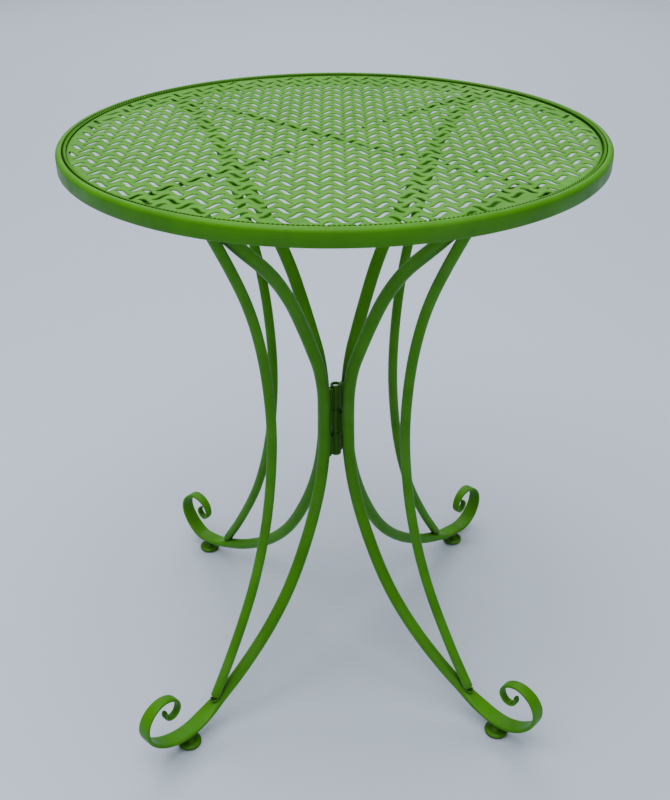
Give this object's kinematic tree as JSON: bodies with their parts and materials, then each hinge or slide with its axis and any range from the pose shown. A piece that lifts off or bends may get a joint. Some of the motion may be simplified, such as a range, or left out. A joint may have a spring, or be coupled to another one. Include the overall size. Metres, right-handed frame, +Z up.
{
  "type": "bistro table",
  "caption": "Round metal garden bistro table with a slotted sheet top in a rolled hoop, on curved bar legs that end in scrolls and cross at a vertical folding hinge.",
  "frame": {"origin": "on the floor, under the centre of the round top and on the axis of the leg hinge", "axes": "+Z up along the hinge axis; the four legs stand at 45 degrees between the X and Y axes, with the front of the table towards -Y"},
  "size_m": [0.6, 0.6, 0.7338],
  "materials": {
    "green_coat": "satin powder coat",
    "pin_steel": "plain"
  },
  "bodies": {
    "frame_fl_br": {"leg_fl_main": "green_coat", "leg_fl_outer": "green_coat", "leg_fl_pad": "green_coat", "leg_br_main": "green_coat", "leg_br_outer": "green_coat", "leg_br_pad": "green_coat", "hub_knuckle_bottom": "green_coat", "hub_knuckle_top": "green_coat", "hub_web_bottom_fl": "green_coat", "hub_web_bottom_br": "green_coat", "hub_web_top_fl": "green_coat", "hub_web_top_br": "green_coat", "hub_pin": "pin_steel"},
    "frame_fr_bl": {"leg_fr_main": "green_coat", "leg_fr_outer": "green_coat", "leg_fr_pad": "green_coat", "leg_bl_main": "green_coat", "leg_bl_outer": "green_coat", "leg_bl_pad": "green_coat", "hub_knuckle_middle": "green_coat", "hub_web_middle_fr": "green_coat", "hub_web_middle_bl": "green_coat"},
    "table_top": {"top_rim": "green_coat", "top_sheet": "green_coat", "top_bead_ring": "green_coat", "top_brace_long": "green_coat", "top_brace_fr": "green_coat", "top_brace_bl": "green_coat"}
  },
  "joints": [
    {"name": "leg_fold", "type": "hinge", "parent": "frame_fl_br", "child": "frame_fr_bl", "pos_m": [0, 0, 0.363], "axis": [0, 0, 1], "range_deg": [-45, 45]},
    {"name": "top_lift", "type": "slide", "parent": "frame_fl_br", "child": "table_top", "axis": [0, 0, 1], "range_m": [0, 0.06]}
  ]
}
